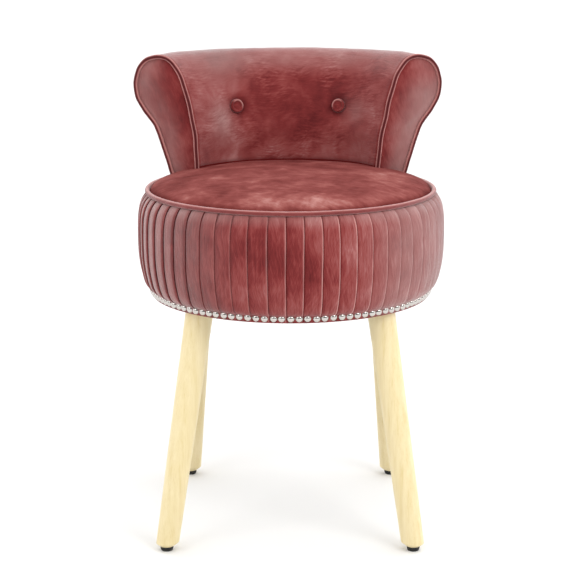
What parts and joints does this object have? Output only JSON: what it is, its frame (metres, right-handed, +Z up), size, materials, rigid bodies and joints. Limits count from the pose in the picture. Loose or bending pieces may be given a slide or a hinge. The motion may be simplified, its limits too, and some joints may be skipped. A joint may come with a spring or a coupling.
{
  "type": "vanity stool",
  "caption": "Round velvet vanity stool: pleated drum seat edged with dome nails, low wrap-around scroll back with covered buttons and piping, on splayed round wooden legs.",
  "frame": {"origin": "on the floor under the middle of the stool's outline box; the drum's own vertical axis stands at x = 0, y = -17.85 mm", "axes": "+Z up, -Y towards the sitter's knees (the open front of the seat), +Y to the back rest, +X to the right seen from the front"},
  "size_m": [0.4181, 0.4372, 0.6111],
  "materials": {
    "velvet": "crushed velvet, dusty rose red with a pale nap sheen",
    "foam": "open-cell upholstery foam",
    "plywood": "raw birch plywood",
    "hardboard": "raw hardboard",
    "liner_board": "grey-brown upholstery board",
    "leg_wood": "clear satin lacquer on pale rubberwood",
    "block_wood": "raw planed hardwood",
    "nickel": "polished nickel",
    "nonwoven": "black spun non-woven",
    "glide_plastic": "black moulded plastic",
    "zinc_steel": "zinc-plated steel"
  },
  "bodies": {
    "root": {"back_bolt_washers": "zinc_steel", "back_bolts": "zinc_steel", "back_bottom_rail": "plywood", "back_button_left": "velvet", "back_button_right": "velvet", "back_end_rib_left": "plywood", "back_end_rib_right": "plywood", "back_foam": "foam", "back_inner_cover": "velvet", "back_inner_panel": "plywood", "back_insert_nuts": "zinc_steel", "back_outer_cover": "velvet", "back_outer_liner": "liner_board", "back_rib_centre": "plywood", "back_rib_left": "plywood", "back_rib_right": "plywood", "back_roll_liner": "liner_board", "back_support_left": "block_wood", "back_support_right": "block_wood", "back_top_rail": "plywood", "base_board": "plywood", "base_board_screws": "zinc_steel", "dust_cover": "nonwoven", "dust_cover_staples": "zinc_steel", "glide_front_left": "glide_plastic", "glide_front_right": "glide_plastic", "glide_rear_left": "glide_plastic", "glide_rear_right": "glide_plastic", "leg_front_left": "leg_wood", "leg_front_right": "leg_wood", "leg_hanger_bolts": "zinc_steel", "leg_insert_nuts": "zinc_steel", "leg_post_front_left": "block_wood", "leg_post_front_right": "block_wood", "leg_post_rear_left": "block_wood", "leg_post_rear_right": "block_wood", "leg_rear_left": "leg_wood", "leg_rear_right": "leg_wood", "nailhead_trim": "nickel", "seat_board": "plywood", "seat_board_screws": "zinc_steel", "seat_boxing": "velvet", "seat_cover": "velvet", "seat_foam": "foam", "seat_piping": "velvet", "side_foam": "foam", "side_hoop": "hardboard", "side_post_front": "block_wood", "side_post_left": "block_wood", "side_post_rear": "block_wood", "side_post_right": "block_wood", "wing_panel_left": "velvet", "wing_panel_right": "velvet", "wing_piping_left": "velvet", "wing_piping_right": "velvet"}
  },
  "joints": []
}
